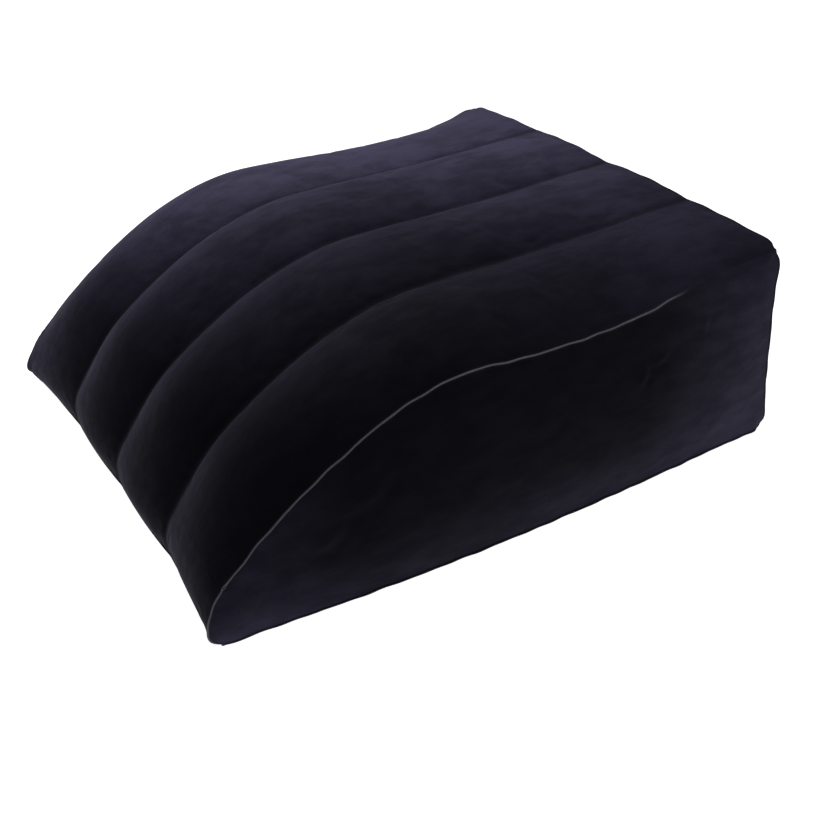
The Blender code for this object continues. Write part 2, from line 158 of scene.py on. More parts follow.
def patch(low, high, left, right):
    # A surface between four edges: the mean of the two straight blends across it, less the corners'.
    # low and high run along u, left and right along v; left joins their starts.
    u = np.linspace(0, 1, len(low))[None, :, None]
    v = np.linspace(0, 1, len(left))[:, None, None]
    across = (1 - v) * low[None] + v * high[None]
    upward = (1 - u) * left[:, None] + u * right[:, None]
    corners = (1 - u) * (1 - v) * low[0] + u * (1 - v) * low[-1] + (1 - u) * v * high[0] + u * v * high[-1]
    return across + upward - corners


def wave(run, phase):
    # A slow waver along a seam: three sines of unrelated lengths.
    total = 0
    for share, length, turn in skin["waves"]:
        total = total + share * np.sin(2 * math.pi * run / length + turn * phase)
    return total


def runOf(line):
    return np.concatenate([[0], np.cumsum(np.linalg.norm(np.diff(line, axis=0), axis=1))])


def columnYs():
    # Across the cushion: each tube's columns crowd a little towards its grooves, with a flat land between.
    edges = [-halfWidth, *grooveY, halfWidth]
    share = np.linspace(0, 1, skin["cellsPerTube"] + 1)
    share = 0.6 * share + 0.2 * (1 - np.cos(math.pi * share))
    found = []
    for k in range(4):
        low = edges[k] + (skin["weldLand"] if k else 0)
        high = edges[k + 1] - (skin["weldLand"] if k < 3 else 0)
        found.append(low + (high - low) * share)
    return np.concatenate(found), np.tile(share, 4)


def between(start, end, count):
    t = np.linspace(0, 1, count)[:, None]
    return start * (1 - t) + end * t


def waver(line, phase, heading, lift):
    # The offsets of a wavering seam: outwards along heading and, less, up. Nothing moves at its ends.
    run = runOf(line)
    size = skin["seamWave"] * smooth(run, 0.004, 0.05) * smooth(run[-1] - run, 0.004, 0.03)
    across = (size * wave(run, phase))[:, None] * np.asarray(heading, float)
    upward = (size * wave(run, 1.9 * phase + 1))[:, None] * np.array([0, 0, lift])
    return across + upward


def edgeFirst(grid, side):
    # The grid turned so that the named edge is its first row.
    crossed = np.swapaxes(grid, 0, 1)
    return {"first": grid, "last": grid[::-1], "low": crossed, "high": crossed[::-1]}[side]


def ripple(grid, side, offset):
    # Carries an edge's waver into a panel, dying away with the distance from the edge.
    turned = edgeFirst(grid, side)
    away = np.linalg.norm(np.diff(turned, axis=0), axis=2).cumsum(axis=0)
    fade = np.concatenate([np.ones((1, turned.shape[1])), np.exp(-away / skin["rippleReach"])])
    turned += offset[None] * fade[..., None]


def topGrid():
    # Rows run from the nose to the rear, columns from the right to the left. Each tube rises from the line
    # between its two welds by its crown times sin(pi t) to a power. The outer tubes slope from their weld to
    # the side seam, and at the nose they keep to the weld's line for longer.
    groove = profile(skin["grooveLine"])
    stations = np.linspace(0, skin["noseTurn"], skin["cellsUp"] + 1)
    ramp = np.linspace(skin["noseTurn"], len(skin["crown"]) - 1, skin["cellsAlong"] + 1)
    crown = catmull(np.array(skin["crown"])[:, None], np.concatenate([stations, ramp[1:]]))
    y, share = columnYs()
    line = np.repeat(groove[:, None], len(y), axis=1)
    atNose = 1 - smooth(np.arange(len(groove)), 0.6 * skin["cellsUp"], 1.5 * skin["cellsUp"])
    drawn = 1 + 1.2 * atNose[:, None, None]
    for side, points in ((-1, skin["seamRight"]), (1, skin["seamLeft"])):
        toSide = np.clip((side * y - grooveY[2]) / (halfWidth - grooveY[2]), 0, 1)[None, :, None] ** drawn
        line = line * (1 - toSide) + profile(points)[:, None] * toSide
    normal = np.stack([leftNormal(line[:, j]) for j in range(len(y))], axis=1)
    raised = line + normal * crown[:, None] * np.sin(math.pi * share)[None, :, None] ** skin["crownPower"]
    return np.stack([raised[..., 0], np.broadcast_to(y, raised.shape[:2]), raised[..., 1]], axis=2)


def fromValve(points):
    return np.hypot(points[..., 1] - valveY, points[..., 2] - valveZ)


def fromGroove(y):
    # How far from the nearest groove.
    return np.abs(y[..., None] - np.array(grooveY)).min(axis=-1)


def restGrids():
    # Every panel as a grid of points, meeting edge to edge. A wall bellies by the product of two sines.
    up, lift = skin["cellsUp"], skin["floorLift"]
    upPower, alongPower = skin["bellyPowers"]
    top = topGrid()
    y = top[0, :, 1]
    rearFoot = np.stack([np.full(len(y), rearX), y, np.full(len(y), lift)], axis=1)
    grids = {"top": top}
    ripples = []
    for name, column, side, edgeName in (("right", 0, -1, "low"), ("left", -1, 1, "high")):
        seam = top[:, column]
        foot = between(seam[0], np.array([rearX, side * halfWidth, lift]), skin["cellsAlong"] + 1)
        foot[:, 1] += side * skin["footBow"] * np.sin(math.pi * np.linspace(0, 1, len(foot)) ** 0.85)
        post = between(foot[-1], seam[-1], up + 1)
        wall = patch(foot, seam[up:], seam[: up + 1], post)
        v, u = np.meshgrid(np.linspace(0, 1, up + 1), np.linspace(0, 1, len(foot)), indexing="ij")
        tall = wall[-1, :, 2][None] / wall[..., 2].max()
        belly = side * skin["sideBelly"] * np.sin(math.pi * v) ** upPower * np.sin(math.pi * u) ** alongPower
        wall[..., 1] += belly * tall
        grids[name] = wall
        outward = (0, side, 0)
        seamOffset = waver(seam, 1.3 + side, outward, 0.6)
        ripples += [("top", edgeName, seamOffset)]
        ripples += [(name, "low", seamOffset[: up + 1]), (name, "last", seamOffset[up:])]
        footOffset = waver(foot, 4.4 + side, outward, 0.2)
        ripples += [(name, "first", footOffset), ("bottom", "first" if side < 0 else "last", footOffset)]
        postOffset = waver(post, 5.2 + side, outward, 0.0)
        ripples += [(name, "high", postOffset), ("rear", edgeName, postOffset)]
    rearFoot[0], rearFoot[-1] = grids["right"][0, -1], grids["left"][0, -1]
    rear = patch(rearFoot, top[-1], grids["right"][:, -1], grids["left"][:, -1])
    v, u = np.meshgrid(np.linspace(0, 1, up + 1), np.linspace(0, 1, len(y)), indexing="ij")
    rear[..., 0] += skin["rearBelly"] * np.sin(math.pi * v) ** upPower * np.sin(math.pi * u) ** alongPower
    free = smooth(fromValve(rear), *skin["valveFlat"])
    rear[..., 0] = rear[..., 0] * free + valveX * (1 - free)
    bottom = patch(grids["right"][0], grids["left"][0], top[0], rearFoot)
    toEnds = np.minimum(bottom[..., 0] - bottom[:, :1, 0], bottom[:, -1:, 0] - bottom[..., 0])
    toSides = np.minimum(bottom[..., 1] - bottom[:1, :, 1], bottom[-1:, :, 1] - bottom[..., 1])
    bottom[..., 2] *= 1 - smooth(np.minimum(toEnds, toSides), 0, 0.03)
    grids["rear"], grids["bottom"] = rear, bottom
    rearTop = waver(top[-1], 2.2, (1, 0, 0), 0.8)
    ripples += [("top", "last", rearTop), ("rear", "last", rearTop)]
    for name, side, offset in ripples:
        ripple(grids[name], side, offset)
    return grids


def quads(rows, columns):
    # Corner numbers of every cell of a grid, counted row by row.
    a = (np.arange(rows - 1)[:, None] * columns + np.arange(columns - 1)[None, :]).reshape(-1)
    return np.stack([a, a + 1, a + columns + 1, a + columns], axis=1)


def meshFrom(name, points, faces):
    mesh = bpy.data.meshes.new(name)
    mesh.vertices.add(len(points))
    mesh.vertices.foreach_set("co", np.asarray(points, np.float32).reshape(-1))
    mesh.loops.add(faces.size)
    mesh.loops.foreach_set("vertex_index", faces.reshape(-1).astype(np.int32))
    mesh.polygons.add(len(faces))
    mesh.polygons.foreach_set("loop_start", np.arange(0, faces.size, faces.shape[1], dtype=np.int32))
    mesh.update(calc_edges=True)
    mesh.validate()
    mesh.polygons.foreach_set("use_smooth", np.ones(len(mesh.polygons), bool))
    made = bpy.data.objects.new(name, mesh)
    bpy.context.scene.collection.objects.link(made)
    return made


flipped = {"top": True, "right": False, "left": True, "rear": False, "bottom": True}


def weld(grids):
    # All panels as one closed skin: points that coincide become one. Gives the points, the faces and each
    # panel's own grid of point numbers.
    every = np.concatenate([g.reshape(-1, 3) for g in grids.values()])
    _, first, back = np.unique(np.round(every, 6), axis=0, return_index=True, return_inverse=True)
    back = back.reshape(-1)
    numbers, faces, start = {}, [], 0
    for name, grid in grids.items():
        rows, columns = grid.shape[:2]
        numbers[name] = back[start : start + rows * columns].reshape(rows, columns)
        own = numbers[name].reshape(-1)[quads(rows, columns)]
        faces.append(own[:, ::-1] if flipped[name] else own)
        start += rows * columns
    return every[first], np.concatenate(faces), numbers


def pinned(points, numbers):
    # 1 where the sheet is held: along every seam, at the welds of the grooves, on the floor and at the valve.
    held = np.zeros(len(points))
    for grid in numbers.values():
        for edge in (grid[0], grid[-1], grid[:, 0], grid[:, -1]):
            held[edge] = 1
    top = numbers["top"]
    cells = skin["cellsPerTube"] + 1
    for k in (1, 2, 3):
        held[top[:, k * cells - 1]] = 1
        held[top[:, k * cells]] = 1
    held[numbers["bottom"].reshape(-1)] = 1
    rear = numbers["rear"].reshape(-1)
    held[rear[fromValve(points[rear]) < skin["valveHeld"]]] = 1
    return held


# The sheet as a cloth. It shrinks by less than nothing: it is a little longer than its flat run.
sheetCloth = {
    "quality": 3,
    "mass": 0.0015,
    "tension_stiffness": 40,
    "compression_stiffness": 40,
    "shear_stiffness": 20,
    "bending_stiffness": 0.02,
    "tension_damping": 5,
    "compression_damping": 5,
    "shear_damping": 5,
    "air_damping": 1,
    "shrink_min": -0.0015,
    "use_pressure": True,
    "uniform_pressure_force": 20.0,
}


def inflate(points, faces, held):
    # Blows the skin up under pressure with its welds held, then keeps each point within reach of its start.
    ball = meshFrom("skinInflated", points, faces)
    group = ball.vertex_groups.new(name="held")
    group.add(np.nonzero(held)[0].tolist(), 1.0, "REPLACE")
    cloth = ball.modifiers.new("cloth", "CLOTH")
    cloth.settings.vertex_group_mass = "held"
    for setting, value in sheetCloth.items():
        setattr(cloth.settings, setting, value)
    cloth.settings.effector_weights.gravity = 0
    cloth.collision_settings.use_collision = False
    scene = bpy.context.scene
    cloth.point_cache.frame_start = 1
    cloth.point_cache.frame_end = skin["frames"]
    for number in range(1, skin["frames"] + 1):
        scene.frame_set(number)
    shaped = ball.evaluated_get(bpy.context.evaluated_depsgraph_get())
    blown = np.empty(len(points) * 3)
    shaped.data.vertices.foreach_get("co", blown)
    blown = blown.reshape(-1, 3)
    bpy.data.objects.remove(ball, do_unlink=True)
    scene.frame_set(1)
    move = blown - points
    far = np.linalg.norm(move, axis=1, keepdims=True)
    print("inflated: moved at most", round(float(far.max()), 4), "m, on average", round(float(far.mean()), 4))
    most = skin["mostMove"]
    return points + move * (most * np.tanh(far / most) / np.maximum(far, 1e-9))


def buildSkin():
    grids = restGrids()
    points, faces, numbers = weld(grids)
    held = pinned(points, numbers)
    points = inflate(points, faces, held)
    print("skin shaped:", len(points), "points")
    coarse = {name: points[n] for name, n in numbers.items()}
    for name in ("right", "left", "rear"):
        coarse[name] = calmed(coarse[name], skin["calming"])
    return coarse


def calmed(grid, passes):
    # Each inner point moves to the mean of itself and its four neighbours, a few times over.
    for _ in range(passes):
        inner = grid[1:-1, 1:-1] + grid[:-2, 1:-1] + grid[2:, 1:-1] + grid[1:-1, :-2] + grid[1:-1, 2:]
        grid[1:-1, 1:-1] = inner / 5
    return grid


def refined(grid, rowsBy, columnsBy):
    # The same surface read more finely both ways.
    grid = catmull(grid, np.linspace(0, len(grid) - 1, (len(grid) - 1) * rowsBy + 1))
    grid = np.swapaxes(grid, 0, 1)
    grid = catmull(grid, np.linspace(0, len(grid) - 1, (len(grid) - 1) * columnsBy + 1))
    return np.swapaxes(grid, 0, 1)


def refinedTubes(grid, rowsBy, columnsBy):
    # Each tube's columns are refined alone, so that the welds between them stay sharp.
    cells = skin["cellsPerTube"] + 1
    return np.concatenate(
        [refined(grid[:, k * cells : (k + 1) * cells], rowsBy, columnsBy) for k in range(4)], axis=1
    )


def unit(vectors):
    return vectors / np.maximum(np.linalg.norm(vectors, axis=-1, keepdims=True), 1e-12)


def softened(values, reach):
    # A running mean along a seam.
    kernel = np.ones(2 * reach + 1) / (2 * reach + 1)
    padded = np.pad(values, ((reach, reach), (0, 0)), mode="edge")
    return np.stack([np.convolve(padded[:, k], kernel, mode="valid") for k in range(3)], axis=1)


def across(grid, side):
    # Which way a panel's surface runs as it leaves through one of its edges.
    turned = edgeFirst(grid, side)
    return unit(softened(unit(turned[0] - turned[3]), 3))


def rolled(first, second, radius):
    # Rounds the edge where two panels meet at their first rows: a point less than the radius away from the
    # edge goes to the same share of an eighth of a circle that touches both panels.
    ways = [-unit(softened(unit(grid[0] - grid[3]), 3)) for grid in (first, second)]
    for grid, into, other in ((first, ways[0], ways[1]), (second, ways[1], ways[0])):
        away = np.linalg.norm(np.diff(grid, axis=0), axis=2).cumsum(axis=0)
        away = np.concatenate([np.zeros((1, grid.shape[1])), away])
        share = np.clip(1 - away / np.maximum(radius, 1e-6), 0, 1)
        turn = share * math.pi / 4
        inward = (radius * (share - np.sin(turn)))[..., None] * into
        sideways = (radius * (1 - np.cos(turn)))[..., None] * other
        grid += inward + sideways


def finePanels(coarse):
    # Every panel with twice the points each way, its edges shared with its neighbours again. Then the right
    # seam is rolled round before the rear, and the six corners are drawn in at their tips and flared.
    fine = {
        "top": refinedTubes(coarse["top"], 2, 2),
        "right": refined(coarse["right"], 2, 2),
        "left": refined(coarse["left"], 2, 2),
        "rear": refinedTubes(coarse["rear"], 2, 2),
        "bottom": np.swapaxes(refinedTubes(np.swapaxes(coarse["bottom"], 0, 1), 2, 2), 0, 1),
    }
    nose = skin["cellsUp"] * 2
    for name, column in (("right", 0), ("left", -1)):
        fine[name][:, 0] = fine["top"][: nose + 1, column]
        fine[name][-1] = fine["top"][nose:, column]
        fine["rear"][:, column] = fine[name][:, -1]
        fine["bottom"][column] = fine[name][0]
    fine["rear"][-1] = fine["top"][-1]
    fine["bottom"][:, 0] = fine["top"][0]
    fine["bottom"][:, -1] = fine["rear"][0]
    seam = fine["top"][nose:, 0]
    run = runOf(seam)
    radius = skin["roll"] * smooth(seam[:, 0], *skin["rollStarts"]) * smooth(run[-1] - run, *skin["rollEnds"])
    rolled(edgeFirst(fine["top"], "low")[:, nose:], edgeFirst(fine["right"], "last"), radius)
    tips = [("nose", fine["top"][0, column].copy()) for column in (0, -1)]
    tips += [("rear", fine["top"][-1, column].copy()) for column in (0, -1)]
    tips += [("rear", fine[name][0, -1].copy()) for name in ("right", "left")]
    for grid in fine.values():
        for end, tip in tips:
            away = np.linalg.norm(grid - tip, axis=2, keepdims=True)
            inward = unit((np.array([0, 0, 0.1]) - tip) * (1, 1, 1.5))
            near = away / skin["cornerWide"][end]
            pull = skin["cornerPull"][end] * np.exp(-(near**2))
            flare = skin["cornerFlare"][end] * np.exp(-((near / 3) ** 2))
            grid += (pull - flare) * inward
    for grid in fine.values():
        grid[..., 2] = np.maximum(grid[..., 2], 0)
    return fine


def seamFrames(fine):
    # For each panel's four edges: which way the fin points, which way that panel's face of it looks, and how
    # wide it is. The fin halves the angle between the two panels that meet, and lies level along the floor.
    sides = ("first", "last", "low", "high")
    leaving = {name: {side: across(grid, side) for side in sides} for name, grid in fine.items()}
    frames = {name: {} for name in fine}

    def meet(nameA, sideA, nameB, sideB, level=False):
        a, b = leaving[nameA][sideA], leaving[nameB][sideB]
        direction, face = unit(a + b), unit(b - a)
        if level:
            direction = unit(direction * (1, 1, 0))
            face = np.broadcast_to((0.0, 0.0, 1.0), face.shape)
        sizes = np.full(len(a), skin["otherSeams"])
        frames[nameA][sideA] = (direction, face, sizes)
        frames[nameB][sideB] = (direction, -face, sizes)

    nose = skin["cellsUp"] * 2
    for name, side, bottomSide in (("right", "low", "first"), ("left", "high", "last")):
        a = leaving["top"][side]
        b = unit(softened(np.concatenate([leaving[name]["low"][:-1], leaving[name]["last"]]), 5))
        direction, face = unit(a + b), unit(b - a)
        x = edgeFirst(fine["top"], side)[0][:, 0]
        sizes = 1 - skin["seamHidden"][name] * smooth(x, *skin["seamHides"])
        frames["top"][side] = (direction, face, sizes)
        frames[name]["low"] = (direction[: nose + 1], -face[: nose + 1], sizes[: nose + 1])
        frames[name]["last"] = (direction[nose:], -face[nose:], sizes[nose:])
        meet(name, "high", "rear", side)
        meet(name, "first", "bottom", bottomSide, level=True)
    meet("top", "last", "rear", "last")
    meet("top", "first", "bottom", "low", level=True)
    meet("rear", "first", "bottom", "high", level=True)
    return frames


fin = {
    "shares": ((1, 1.0), (2, 0.45), (3, 0.12)),  # how far the last rows part, in halves of a fin
    "endRows": (0.35, 0.8),  # the reach of a fin at its first and second column
    "short": 0.6,  # how much of its reach a fin loses at a corner
    "shortReach": 0.005,
    "waver": 0.00015,
    "tuckIn": 0.0003,  # where the fin is gone, its rows go in and under by these
    "tuckUnder": 0.0008,
}


def finned(grid, frames):
    # Pads a panel with two rows on every edge: its half of the welded fin, shorter and round at the corners.
    half = skin["finHalf"]
    weld = np.zeros(grid.shape[:2])
    for first, last, axis in (("first", "last", 0), ("low", "high", 1)):
        grid, weld = np.swapaxes(grid, 0, axis), np.swapaxes(weld, 0, axis)
        padding = (grid.shape[1] - len(frames[first][0])) // 2
        rounding = np.ones(grid.shape[1])
        if padding:
            rounding[[0, -1]], rounding[[1, -2]] = fin["endRows"]
        for side in (first, last):
            direction, face, size = frames[side]
            direction = np.pad(direction, ((padding, padding), (0, 0)), mode="edge")
            face = np.pad(face, ((padding, padding), (0, 0)), mode="edge")
            size = np.pad(size, padding, mode="edge")
            order = slice(None) if side == last else slice(None, None, -1)
            own = grid[order].copy()
            run = runOf(own[-1])
            toCorner = np.minimum(run, run[-1] - run)
            reach = skin["finWidth"] * size + skin["earWidth"] * np.exp(-((toCorner / skin["earReach"]) ** 2))
            shortened = 1 - fin["short"] * np.exp(-((toCorner / fin["shortReach"]) ** 2))
            reach = (reach * rounding * shortened)[:, None]
            bare = np.clip(1 - 2 * size, 0, 1)[:, None]
            for back, share in fin["shares"]:
                own[-back] += face * half * share * (1 - bare)
            wobble = fin["waver"] * (size * wave(run, 2.0))[:, None] * face
            tuck = (direction * fin["tuckIn"] + face * fin["tuckUnder"]) * bare
            rows = [
                own[-1] + direction * reach * 0.5 + wobble * 0.5 - tuck * 0.5,
                own[-1] + direction * reach + wobble - face * half * 0.35 * (1 - bare) - tuck,
            ]
            own = np.concatenate([own, np.stack(rows)])
            mark = np.stack([0.4 * size**3, size**3])
            ownWeld = np.concatenate([weld[order], mark])
            grid, weld = own[order], ownWeld[order]
        grid, weld = np.swapaxes(grid, 0, axis), np.swapaxes(weld, 0, axis)
    return grid, weld


def setAttribute(made, name, values):
    layer = made.data.attributes.new(name, "FLOAT", "POINT")
    layer.data.foreach_set("value", np.asarray(values, np.float32).reshape(-1))


class Wire:
    # One socket of a material. Arithmetic on it adds the Math nodes.
    def __init__(self, finish, socket):
        self.finish = finish
        self.socket = socket

    def maths(self, operation, first, second):
        return self.finish.node("ShaderNodeMath", {"operation": operation}, {0: first, 1: second})

    def __add__(self, other):
        return self.maths("ADD", self, other)

    def __sub__(self, other):
        return self.maths("SUBTRACT", self, other)

    def __rsub__(self, other):
        return self.maths("SUBTRACT", other, self)

    def __mul__(self, other):
        return self.maths("MULTIPLY", self, other)

    __radd__ = __add__
    __rmul__ = __mul__


class Finish:
    # A material and the one way its nodes are made.
    def __init__(self, name, settings):
        self.material = bpy.data.materials.new(name)
        self.material.use_nodes = True
        self.tree = self.material.node_tree
        self.shader = self.tree.nodes["Principled BSDF"]
        for key, value in settings.items():
            self.shader.inputs[key].default_value = value

    def node(self, kind, settings=None, values=None, output=0):
        made = self.tree.nodes.new(kind)
        for key, value in (settings or {}).items():
            setattr(made, key, value)
        for key, value in (values or {}).items():
            if isinstance(value, Wire):
                self.tree.links.new(value.socket, made.inputs[key])
            else:
                made.inputs[key].default_value = value
        return Wire(self, made.outputs[output])

    def feed(self, name, wire):
        self.tree.links.new(wire.socket, self.shader.inputs[name])

    def place(self):
        return self.node("ShaderNodeTexCoord", output=3)

    def attribute(self, name):
        return self.node("ShaderNodeAttribute", {"attribute_name": name}, output=2)

    def noise(self, where, scale, detail=3.0, roughness=0.5):
        values = {"Vector": where, "Scale": scale, "Detail": detail, "Roughness": roughness}
        return self.node("ShaderNodeTexNoise", None, values)

    def stretched(self, where, scale):
        return self.node("ShaderNodeMapping", None, {"Vector": where, "Scale": scale})

    def ranged(self, wire, low, high, toLow, toHigh):
        values = {"Value": wire, "From Min": low, "From Max": high, "To Min": toLow, "To Max": toHigh}
        return self.node("ShaderNodeMapRange", {"interpolation_type": "SMOOTHSTEP"}, values)

    def blend(self, factor, a, b):
        return self.node("ShaderNodeMix", {"data_type": "RGBA"}, {0: factor, 6: a, 7: b}, output=2)

    def bump(self, height, distance, strength, under=None):
        values = {"Height": height, "Distance": distance, "Strength": strength}
        if under:
            values["Normal"] = under
        return self.node("ShaderNodeBump", None, values)


flock = {
    # deep and the tone after it are the flock in its darkest painted shade and in its lightest painted light.
    "deep": (0.0032, 0.0029, 0.0054, 1),
    "mottledPaintedLight": (0.0440, 0.0400, 0.0720, 1),
    "welded": (0.125, 0.122, 0.140, 1),
    "sheen": 0.09,
    "sheenRoughness": 0.35,
    "sheenTint": (0.66, 0.62, 0.95, 1),
    "shadow": (0.002, 0.002, 0.003, 1),  # between the fibres
    "grain": 1400.0,  # flock fibres to the metre, roughly
}


def flockFinish():
    settings = {
        "Sheen Weight": flock["sheen"],
        "Sheen Roughness": flock["sheenRoughness"],
        "Sheen Tint": flock["sheenTint"],
        "Specular IOR Level": 0.05,
    }
    cloth = Finish("flockedPvc", settings)
    where = cloth.place()
    patches = cloth.noise(where, 9.0, 4.0, 0.55)
    napAndPaintedLight = cloth.noise(cloth.stretched(where, (30, 75, 75)), 1.0, 4.0, 0.6)
    fibres = cloth.noise(where, flock["grain"], 2.0, 0.6)
    mottle = cloth.ranged(patches * 0.6 + napAndPaintedLight * 0.4, 0.36, 0.66, 0.65, 1.35)
    # Painted light and shade: the share of painted light, times a random mottle, blends the flock from its
    # darkest to its lightest tone.
    mottledPaintedLight = cloth.attribute("paintedLightShare") * mottle
    tone = cloth.blend(mottledPaintedLight, flock["deep"], flock["mottledPaintedLight"])
    weldMark = cloth.attribute("weld")
    tone = cloth.blend(weldMark, tone, flock["welded"])
    speckle = cloth.ranged(fibres, 0.3, 0.7, 0.0, 0.30)
    cloth.feed("Base Color", cloth.blend(speckle, tone, flock["shadow"]))
    cloth.feed("Roughness", cloth.ranged(napAndPaintedLight, 0.3, 0.7, 0.98, 0.82) - 0.25 * weldMark)
    soft = cloth.bump(patches * 0.5 + napAndPaintedLight * 0.5, 0.0035, 0.35)
    cloth.feed("Normal", cloth.bump(fibres, 0.0003, 0.30, soft))
    return cloth.material


film = {
    "tone": (0.016, 0.016, 0.018, 1),
    "scuffed": (0.03, 0.03, 0.033, 1),
    "pressed": (0.045, 0.045, 0.049, 1),
    "embossing": 900.0,
    "weldHalf": 0.0035,  # half the width of the webs' welds, seen from below
    "webMark": 0.8,
    "webFrom": (-0.276, -0.270),  # x where those welds come in
    "webTo": (-0.262, -0.256),  # -x where they go out
}


def filmFinish():
    sheet = Finish("pvcFilm", {"Specular IOR Level": 0.45})
    where = sheet.place()
    weldMark = sheet.attribute("weld")
    cloud = sheet.noise(where, 14.0, 4.0, 0.6)
    grain = sheet.node("ShaderNodeTexVoronoi", None, {"Vector": where, "Scale": film["embossing"]})
    tone = sheet.blend(sheet.ranged(cloud, 0.4, 0.7, 0.0, 1.0), film["tone"], film["scuffed"])
    sheet.feed("Base Color", sheet.blend(weldMark, tone, film["pressed"]))
    sheet.feed("Roughness", sheet.ranged(cloud, 0.3, 0.7, 0.36, 0.56) - 0.12 * weldMark)
    pressed = sheet.bump(1 - weldMark, 0.0006, 0.8, sheet.bump(cloud, 0.004, 0.25))
    sheet.feed("Normal", sheet.bump(grain, 0.0002, 0.4, pressed))
    return sheet.material


vinyl = {"tone": (0.020, 0.020, 0.022, 1), "rubbed": (0.045, 0.045, 0.048, 1)}


def vinylFinish():
    moulded = Finish("valveVinyl", {"Specular IOR Level": 0.5})
    where = moulded.place()
    cloud = moulded.noise(where, 60.0, 3.0, 0.5)
    satin = moulded.noise(where, 2500.0, 2.0, 0.5)
    rubbing = moulded.ranged(cloud, 0.45, 0.75, 0.0, 1.0)
    moulded.feed("Base Color", moulded.blend(rubbing, vinyl["tone"], vinyl["rubbed"]))
    moulded.feed("Roughness", moulded.ranged(satin, 0.3, 0.7, 0.30, 0.44))
    moulded.feed("Normal", moulded.bump(satin, 0.0001, 0.25))
    return moulded.material


finishes = {"flock": flockFinish(), "film": filmFinish(), "vinyl": vinylFinish()}
print("finishes made")

panels = {
    "top": ("top_panel", "flock"),
    "right": ("side_panel_right", "flock"),
    "left": ("side_panel_left", "flock"),
    "rear": ("rear_panel", "flock"),
    "bottom": ("bottom_panel", "film"),
}


# Painted light and shade on the flock, place by place: the sides lighter low down, at the front and at the
# back, the top lighter to the left and at the back and darker at the nose, with painted shade along the
# grooves.
napAndPaintedLight = {
    "sideBase": 0.32,
    "sideLow": 0.75,  # a side is lighter low down, less so at the back
    "sideLowBack": 0.45,
    "sideFront": 0.9,
    "sideBack": (0.80, 0.35),  # at the floor, and how much more at the top seam
    "drift": (3.75, 1.45),  # how fast the top grows lighter to the left, and how much slower at the back
    "topBack": (1.2, 0.8),  # at the front, and how much more at the back
    "topNose": (0.25, 0.75),  # at the nose, and how much more past it
    "groove": 0.5,  # how much painted shade darkens the top along its grooves
    "grooveHalf": 0.0045,
    "leftNose": 0.45,
    "gain": 0.32,
    "power": 1.3,
    "floor": 0.084,
    "most": 1.3,
}


def paintedLightOf(key, grid):
    # How much painted light the flock gets, place by place: 0 is its darkest painted shade, 1 its lightest
    # painted light.
    x, y, z = grid[..., 0], grid[..., 1], grid[..., 2]
    if key in ("right", "left"):
        tall = z / np.maximum(z[-1], 0.03)
        back = smooth(x, 0.10, 0.25)
        low = napAndPaintedLight["sideLow"] * (1 - smooth(tall, 0.02, 0.50)) * (1 - napAndPaintedLight["sideLowBack"] * back)
        behind = (napAndPaintedLight["sideBack"][0] + napAndPaintedLight["sideBack"][1] * tall) * back
        light = napAndPaintedLight["sideBase"] + low + napAndPaintedLight["sideFront"] * smooth(-x, 0.16, 0.30) + behind
    else:
        back = smooth(x, -0.05, 0.20)
        light = np.exp((napAndPaintedLight["drift"][0] - napAndPaintedLight["drift"][1] * back) * y)
        light = light * (napAndPaintedLight["topBack"][0] + napAndPaintedLight["topBack"][1] * back)
        light = light * (napAndPaintedLight["topNose"][0] + napAndPaintedLight["topNose"][1] * smooth(x, -0.30, -0.14))
    if key == "top":
        # Painted shade along the grooves, and painted light at the left of the nose.
        light = light * (1 - napAndPaintedLight["groove"] * np.exp(-((fromGroove(y) / napAndPaintedLight["grooveHalf"]) ** 2)))
        light = light + napAndPaintedLight["leftNose"] * smooth(-x, 0.262, 0.300) * smooth(y, 0.10, 0.24)
    return np.clip(napAndPaintedLight["gain"] * light ** napAndPaintedLight["power"] - napAndPaintedLight["floor"], 0.0, napAndPaintedLight["most"])


# Small folds pressed into the blown sheet: the place as (x, y) on the top and (x, z) on a side, (y, z) on the
# rear, the length, the half width, the depth and the turn in degrees.
creases = {
    "top": [
        (0.118, -0.226, 0.010, 0.0036, 0.0013, 12),
        (0.104, -0.139, 0.014, 0.0040, 0.0012, 24),
        (0.086, -0.114, 0.012, 0.0036, 0.0010, -14),
        (-0.086, -0.140, 0.017, 0.0045, 0.0011, -20),
        (0.188, -0.112, 0.012, 0.0038, 0.0009, 30),
        (0.150, 0.010, 0.013, 0.0038, 0.0009, -25),
        (0.060, 0.136, 0.015, 0.0040, 0.0009, 18),
    ],
    "right": [
        (0.133, 0.132, 0.010, 0.0036, 0.0015, 14),
        (0.118, 0.123, 0.009, 0.0036, 0.0012, 62),
        (0.191, 0.157, 0.007, 0.0034, 0.0012, 84),
        (-0.168, 0.094, 0.024, 0.0070, 0.0012, 22),
        (-0.200, 0.070, 0.020, 0.0060, 0.0010, 35),
        (-0.040, 0.060, 0.026, 0.0080, 0.0009, -12),
    ],
    "left": [
        (0.120, 0.120, 0.012, 0.0040, 0.0012, 24),
        (-0.150, 0.090, 0.022, 0.0065, 0.0011, 30),
        (0.020, 0.070, 0.024, 0.0070, 0.0009, -15),
    ],
    "rear": [
        (-0.120, 0.130, 0.016, 0.0050, 0.0010, 20),
        (0.040, 0.080, 0.022, 0.0065, 0.0010, -30),
        (0.196, 0.150, 0.013, 0.0045, 0.0010, 50),
    ],
}
# The two axes that a panel's folds are placed by, and the way that it faces.
faceAxes = {
    "top": (0, 1, (0, 0, 1)),
    "right": (0, 2, (0, -1, 0)),
    "left": (0, 2, (0, 1, 0)),
    "rear": (1, 2, (1, 0, 0)),
}


